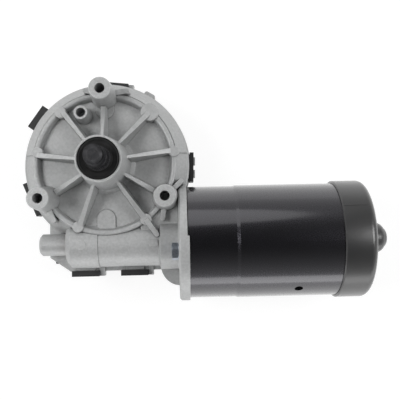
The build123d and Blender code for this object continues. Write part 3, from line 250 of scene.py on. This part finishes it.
# Bronze bushes: sintered powder pressed to size and soaked in oil, brown and slightly open-grained.
sintered_bronze, tree, surface = bare_material("sintered_bronze")
surface.inputs["Metallic"].default_value = 0.9
finish_surface(tree, surface, ("#7A5230", "#8C6239"), (0.38, 0.55), 2, 0.25, 0.03)
dress(sintered_bronze, "front_bush", "tail_bush", "rear_bush")

# Hard springs, washers and clips: blue-grey rolled spring steel with fine lines along the strip.
spring_steel, tree, surface = bare_material("spring_steel")
surface.inputs["Metallic"].default_value = 1.0
finish_surface(tree, surface, ("#7E8084", "#8E9094"), (0.28, 0.42), 3, 0.3, 0.01)
dress(spring_steel, "thrust_washers", "shaft_circlip", "bearing_clip", "brush_springs", "magnet_springs",
      "bush_retainer")

# Output shaft: turned steel with a black phosphate coat. Its journal is ground, the taper above it is
# serrated to hold the crank, and the end has an M10 thread for the crank's nut.
black_phosphate, tree, surface = bare_material("black_phosphate")
surface.inputs["Metallic"].default_value = 0.8
finish_surface(tree, surface, ("#38383A", "#464648"), (0.42, 0.54), 2, 0.3, 0.01)


def pick(piece):
    """Selects one piece alone and makes it active."""
    bpy.ops.object.select_all(action="DESELECT")
    bpy.context.view_layer.objects.active = piece
    piece.select_set(True)


def turned(name, sides, steps):
    """A closed turned piece about Z, from the radius and height of each step in millimetres."""
    bpy.ops.object.select_all(action="DESELECT")
    (radius, low), rest = steps[0], steps[1:]
    bpy.ops.mesh.primitive_cylinder_add(vertices=sides, radius=radius * mm, depth=(rest[0][1] - low) * mm,
                                        location=(0, 0, (rest[0][1] + low) / 2 * mm))
    piece = bpy.context.object
    piece.name = name
    bpy.ops.object.transform_apply(location=True)
    bpy.ops.object.mode_set(mode="EDIT")
    bpy.ops.mesh.select_all(action="DESELECT")
    bpy.ops.mesh.select_mode(type="FACE")
    bpy.ops.object.mode_set(mode="OBJECT")
    top = max(piece.data.polygons, key=lambda face: face.center.z)
    top.select = True
    bpy.ops.object.mode_set(mode="EDIT")
    at_radius, at_height = radius, rest[0][1]
    for index, (next_radius, next_height) in enumerate(rest):
        if index:
            rise = (0, 0, (next_height - at_height) * mm)
            bpy.ops.mesh.extrude_region_move(TRANSFORM_OT_translate={"value": rise})
        bpy.ops.transform.resize(value=(next_radius / at_radius, next_radius / at_radius, 1),
                                 center_override=(0, 0, next_height * mm))
        at_radius, at_height = next_radius, next_height
    bpy.ops.object.mode_set(mode="OBJECT")
    return piece


def fuse(piece, tool, operation):
    """Joins, cuts or trims a piece with a tool piece, which is then gone."""
    boolean = piece.modifiers.new(operation, "BOOLEAN")
    boolean.operation, boolean.solver, boolean.object = operation, "EXACT", tool
    pick(piece)
    bpy.ops.object.modifier_apply(modifier=boolean.name)
    bpy.data.objects.remove(tool)


def smooth(piece, degrees):
    """Shades a piece smooth up to an angle between faces."""
    pick(piece)
    bpy.ops.object.shade_smooth_by_angle(angle=math.radians(degrees))


journal_radius, groove_radius, groove_play = 6.0, 5.4, 0.05
stud_radius, stud_top, stud_chamfer = 4.1, 26.0, 25.085
shaft_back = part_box("output_shaft")[0].z / mm
clip_low, clip_high = (corner.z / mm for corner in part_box("shaft_circlip"))
serration_count, serration_low, serration_high = 36, 10.7, 16.8
shaft = turned("turned_output_shaft", 2 * serration_count, (
    (journal_radius - 0.5, shaft_back), (journal_radius, shaft_back + 0.5),
    (journal_radius, clip_low - groove_play), (groove_radius, clip_low - groove_play),
    (groove_radius, clip_high + groove_play), (journal_radius, clip_high + groove_play),
    (journal_radius, 10.5), (journal_radius, serration_low), (5.3, serration_high), (4.7, 16.9),
    (stud_radius, 17.1), (stud_radius, stud_chamfer), (3.0, 25.8), (2.8, stud_top), (2.2, stud_top),
    (2.0, 25.8)))

# Serrations: every second vertex of the taper's two rings moves in, which leaves fine teeth whose
# crests are flush with the journal.
valley_share = 0.91
bpy.ops.object.mode_set(mode="EDIT")
bpy.ops.mesh.select_mode(type="VERT")
bpy.ops.mesh.select_all(action="DESELECT")
bpy.ops.object.mode_set(mode="OBJECT")
for vertex in shaft.data.vertices:
    on_taper = any(abs(vertex.co.z / mm - height) < 0.01 for height in (serration_low, serration_high))
    turn = math.degrees(math.atan2(vertex.co.y, vertex.co.x)) / (180 / serration_count)
    vertex.select = on_taper and round(turn) % 2 == 1
bpy.ops.object.mode_set(mode="EDIT")
bpy.ops.transform.resize(value=(valley_share, valley_share, 1), center_override=(0, 0, 0))
bpy.ops.object.mode_set(mode="OBJECT")

# Thread: one ridge of M10 section, wound up the stud with the screw modifier and trimmed at both ends.
# Its start is turned a little, so that none of its edges lies on an edge of the stud.
thread_pitch, thread_turns, thread_steps, thread_start, start_turn = 1.5, 6, 40, 17.95, 2.3
ridge_depth, ridge_height, ridge_radius, crest_share = 1.1, 1.42, 4.45, 0.15
bpy.ops.object.select_all(action="DESELECT")
bpy.ops.mesh.primitive_plane_add(size=1, location=(0, 0, 0), rotation=(math.pi / 2, 0, 0))
thread = bpy.context.object
thread.name = "thread"
thread.scale = (ridge_depth * mm, ridge_height * mm, 1)
thread.location = (ridge_radius * mm, 0, thread_start * mm)
bpy.ops.object.transform_apply(location=True, rotation=True, scale=True)
for vertex in thread.data.vertices:
    vertex.select = vertex.co.x > ridge_radius * mm
bpy.ops.object.mode_set(mode="EDIT")
bpy.ops.transform.resize(value=(1, 1, crest_share), center_override=(0, 0, thread_start * mm))
bpy.ops.mesh.select_all(action="SELECT")
bpy.ops.mesh.delete(type="ONLY_FACE")
bpy.ops.object.mode_set(mode="OBJECT")
winding = thread.modifiers.new("winding", "SCREW")
winding.axis, winding.angle, winding.screw_offset = "Z", 2 * math.pi, thread_pitch * mm
winding.iterations, winding.steps, winding.render_steps = thread_turns, thread_steps, thread_steps
bpy.ops.object.modifier_apply(modifier="winding")
bpy.ops.object.mode_set(mode="EDIT")
bpy.ops.mesh.select_all(action="SELECT")
bpy.ops.mesh.fill_holes(sides=4)
bpy.ops.mesh.normals_make_consistent(inside=False)
bpy.ops.object.mode_set(mode="OBJECT")
thread.rotation_euler = (0, 0, math.radians(start_turn))
bpy.ops.object.transform_apply(rotation=True)
envelope = turned("envelope", 64, ((7.0, 16.0), (7.0, 17.2), (5.2, 17.56), (5.2, 24.3), (3.0, 25.7)))
fuse(thread, envelope, "INTERSECT")
fuse(shaft, thread, "UNION")
smooth(shaft, 30)
coat(shaft, black_phosphate)
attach(shaft, "output_train")
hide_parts("output_shaft")

# Rubber seal cap, cover seal and gasket: black nitrile rubber, moulded, with a dull bloom.
nitrile_rubber, tree, surface = bare_material("nitrile_rubber")
finish_surface(tree, surface, ("#161616", "#1E1E1E"), (0.5, 0.68), 3, 0.4, 0.02)
dress(nitrile_rubber, "shaft_seal_cap", "cover_seal", "can_gasket")

# Worm wheel: moulded acetal in its natural ivory white, smooth and faintly translucent.
acetal, tree, surface = bare_material("acetal")
surface.inputs["Subsurface Weight"].default_value = 0.1
finish_surface(tree, surface, ("#DDD8C8", "#E4E0D2"), (0.32, 0.42), 6, 0.6, 0.01)
dress(acetal, "worm_wheel")

# Turned and ground steel: hub, worm, armature shaft, races, balls and thrust pieces.
ground_steel, tree, surface = bare_material("ground_steel")
surface.inputs["Metallic"].default_value = 1.0
finish_surface(tree, surface, ("#A6A7A9", "#B4B5B7"), (0.2, 0.32), 4, 0.25, 0.005)
dress(ground_steel, "wheel_hub", "worm", "armature_shaft", "bearing_inner_race", "bearing_outer_race",
      "bearing_balls", "thrust_ball", "thrust_button", "tail_pad")

# Stamped brass: park disc and contact fingers, and the tinned blades in the connector.
stamped_brass, tree, surface = bare_material("stamped_brass")
surface.inputs["Metallic"].default_value = 1.0
finish_surface(tree, surface, ("#B08D4A", "#BE9C58"), (0.25, 0.38), 4, 0.4, 0.01)
dress(stamped_brass, "park_disc", "contact_fingers")

tinned_brass, tree, surface = bare_material("tinned_brass")
surface.inputs["Metallic"].default_value = 1.0
finish_surface(tree, surface, ("#A9A79F", "#B5B3AB"), (0.3, 0.42), 2, 0.3, 0.01)
dress(tinned_brass, "connector_terminals")

# Back cover and its snap frames: black glass-filled polyester, with a moulded matt grain.
moulded_polyester, tree, surface = bare_material("moulded_polyester")
finish_surface(tree, surface, ("#1D1D1E", "#242425"), (0.42, 0.56), 5, 0.5, 0.03)
dress(moulded_polyester, "gear_cover", "contact_plate")

# Brush card and commutator sleeve: brown moulded phenolic, smooth and hard.
phenolic, tree, surface = bare_material("phenolic")
finish_surface(tree, surface, ("#3A2A1E", "#453325"), (0.35, 0.45), 4, 0.5, 0.01)
dress(phenolic, "brush_card", "commutator_sleeve")

# Brushes: pressed carbon and copper powder, dark grey with a dull shine.
pressed_carbon, tree, surface = bare_material("pressed_carbon")
surface.inputs["Metallic"].default_value = 0.4
finish_surface(tree, surface, ("#2B2928", "#373331"), (0.45, 0.6), 1, 0.2, 0.02)
dress(pressed_carbon, "brushes")

# Magnets and choke cores: sintered ferrite, charcoal grey, ground only where it fits.
sintered_ferrite, tree, surface = bare_material("sintered_ferrite")
finish_surface(tree, surface, ("#33343A", "#3D3E44"), (0.5, 0.65), 3, 0.3, 0.03)
dress(sintered_ferrite, "magnets", "choke_cores")

# Windings and commutator: enamelled copper wire and bare copper bars.
copper, tree, surface = bare_material("copper")
surface.inputs["Metallic"].default_value = 1.0
finish_surface(tree, surface, ("#A9603C", "#B97048"), (0.28, 0.42), 3, 0.4, 0.02)
dress(copper, "armature_winding", "choke_windings", "commutator_bars")

# Armature core: stamped electrical steel sheets, stacked, with a thin dark oxide.
electrical_steel, tree, surface = bare_material("electrical_steel")
surface.inputs["Metallic"].default_value = 0.9
finish_surface(tree, surface, ("#4A4B4E", "#58595C"), (0.35, 0.5), 2, 0.5, 0.02)
dress(electrical_steel, "armature_core")

# Motor can: deep-drawn steel, dipped in black paint and baked to a satin skin with a faint orange peel.
can_paint, tree, surface = bare_material("can_paint")
surface.inputs["Coat Weight"].default_value = 1.0
surface.inputs["Coat Roughness"].default_value = 0.13
surface.inputs["Coat IOR"].default_value = 1.6
surface.inputs["Specular Tint"].default_value = linear("#E4E0F4")
finish_surface(tree, surface, ("#09090A", "#0C0C0E"), (0.24, 0.3), 14, 1.2, 0.004)
dress(can_paint, "yoke_can")

# Zinc-plated steel: the plate in the can's mouth, bright with a cold blue tint.
zinc_plate, tree, surface = bare_material("zinc_plate")
surface.inputs["Metallic"].default_value = 1.0
finish_surface(tree, surface, ("#9AA2AD", "#AEB5BE"), (0.22, 0.36), 2, 0.3, 0.01)
dress(zinc_plate, "can_end_plate")

# Flange bolts: two cold-headed M5 bolts, zinc plated. Each head is a hexagon whose corners are turned
# down on top, and it bears on the flange with a thin washer face.
bolt_places = ((-46.05, -8.93, 0), (-37.95, -47.07, 180))
bolt_under_head, bolt_corner_radius, bolt_turn = 37.6, 8 / math.sqrt(3), 72
flange_bolts = []
for bolt_y, bolt_z, half_turn in bolt_places:
    bolt = turned("flange_bolt", 6, ((bolt_corner_radius, 0.35), (bolt_corner_radius, 3.6)))
    blank = turned("blank", 64, ((5.0, 0.3), (5.0, 2.95), (3.8, 3.65)))
    fuse(bolt, blank, "INTERSECT")
    washer_face = turned("washer_face", 64, ((3.9, 0.0), (3.9, 0.4)))
    fuse(bolt, washer_face, "UNION")
    shank = turned("shank", 48, ((2.3, -8.0), (2.5, -7.6), (2.5, 0.2)))
    fuse(bolt, shank, "UNION")
    bolt.matrix_world = (Matrix.Translation(Vector((bolt_under_head, bolt_y, bolt_z)) * mm)
                         @ Matrix.Rotation(math.radians(bolt_turn + half_turn), 4, "X")
                         @ Matrix.Rotation(math.radians(-90), 4, "Y"))
    bpy.ops.object.transform_apply(location=True, rotation=True)
    smooth(bolt, 30)
    coat(bolt, zinc_plate)
    flange_bolts.append(bolt)
bpy.ops.object.select_all(action="DESELECT")
for bolt in flange_bolts:
    bolt.select_set(True)
bpy.context.view_layer.objects.active = flange_bolts[0]
bpy.ops.object.join()
flange_bolts = bpy.context.object
flange_bolts.name = "hexagon_flange_bolts"
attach(flange_bolts, "motor_frame")
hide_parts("flange_bolts")

# End cap: black thermoplastic rubber pushed over the can, moulded with a fine matt texture.
moulded_cap, tree, surface = bare_material("moulded_cap")
surface.inputs["Coat Weight"].default_value = 1.0
surface.inputs["Coat Roughness"].default_value = 0.27
surface.inputs["Coat IOR"].default_value = 1.6
finish_surface(tree, surface, ("#09090A", "#0D0D0F"), (0.44, 0.54), 8, 0.5, 0.01)

# Its outside is a rounded cup with a blunt vent stub, and its inside clears the can.
cap_low, cap_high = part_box("end_cap")
can_low, can_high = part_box("yoke_can")
can_back, nose_radius, nose_end = 134.0, 6.0, can_high.x / mm
cap_outer_radius, cap_corner, cap_wall, corner_steps = (cap_high.z - cap_low.z) / 2 / mm, 3.6, 2.6, 8
cap_mouth, cap_face, cap_tip = cap_low.x / mm, can_back + cap_wall, cap_high.x / mm
cap_sides, mouth_chamfer, cap_play = 128, 0.5, 0.06
mouth = [(cap_outer_radius - mouth_chamfer, cap_mouth), (cap_outer_radius, cap_mouth + mouth_chamfer)]
round_off = [math.pi / 2 * step / corner_steps for step in range(corner_steps + 1)]
corner = [(cap_outer_radius - cap_corner * (1 - math.cos(angle)), cap_face - cap_corner * (1 - math.sin(angle)))
          for angle in round_off]
stub = [(10.5, cap_face), (9.2, cap_face + 0.6), (8.6, cap_face + 2.5), (8.0, cap_tip - 4.6),
        (7.2, cap_tip - 3.1), (6.2, cap_tip - 2.1), (5.6, cap_tip - 2.0), (4.9, cap_tip - 1.0),
        (3.8, cap_tip - 0.3), (2.6, cap_tip), (1.2, cap_tip - 0.4)]
end_cap = turned("moulded_end_cap", cap_sides, mouth + corner + stub)
room_radius = (can_high.z - can_low.z) / 2 / mm + cap_play
nose_room, room_end = nose_radius + cap_play, can_back + cap_play
can_room = turned("can_room", cap_sides, (
    (room_radius, cap_mouth - 2), (room_radius, can_back - 2), (room_radius - 1.6, room_end),
    (nose_room, room_end), (nose_room, nose_end + cap_play)))
fuse(end_cap, can_room, "DIFFERENCE")
cap_axis = Matrix.Translation((0, (cap_low.y + cap_high.y) / 2, (cap_low.z + cap_high.z) / 2))
end_cap.matrix_world = cap_axis @ Matrix.Rotation(math.radians(90), 4, "Y")
bpy.ops.object.transform_apply(location=True, rotation=True)
smooth(end_cap, 35)
coat(end_cap, moulded_cap)
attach(end_cap, "motor_frame")
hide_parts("end_cap")

# The two halves of the cap's mould leave a fine raised line on each side of it.
parting_angle, parting_length, parting_width, parting_start = 34, 12.2 * mm, 0.4 * mm, 0.6 * mm
line_middle = cap_low.x + parting_start + parting_length / 2
parting_lines = []
for half_turn in (0, 180):
    bpy.ops.object.select_all(action="DESELECT")
    bpy.ops.mesh.primitive_cube_add(size=1)
    line = bpy.context.object
    line.scale = (parting_length, parting_width, parting_width)
    bpy.ops.object.transform_apply(scale=True)
    rounding = line.modifiers.new("rounding", "BEVEL")
    rounding.width, rounding.segments = 0.12 * mm, 2
    bpy.ops.object.modifier_apply(modifier="rounding")
    around = Matrix.Rotation(math.radians(-parting_angle + half_turn), 4, "X")
    line.matrix_world = cap_axis @ around @ Matrix.Translation((line_middle, 0, (cap_outer_radius - 0.03) * mm))
    bpy.ops.object.transform_apply(location=True, rotation=True)
    smooth(line, 40)
    coat(line, moulded_cap)
    parting_lines.append(line)
for line in parting_lines:
    line.select_set(True)
bpy.ops.object.join()
cap_parting_lines = bpy.context.object
cap_parting_lines.name = "cap_parting_lines"
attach(cap_parting_lines, "motor_frame")
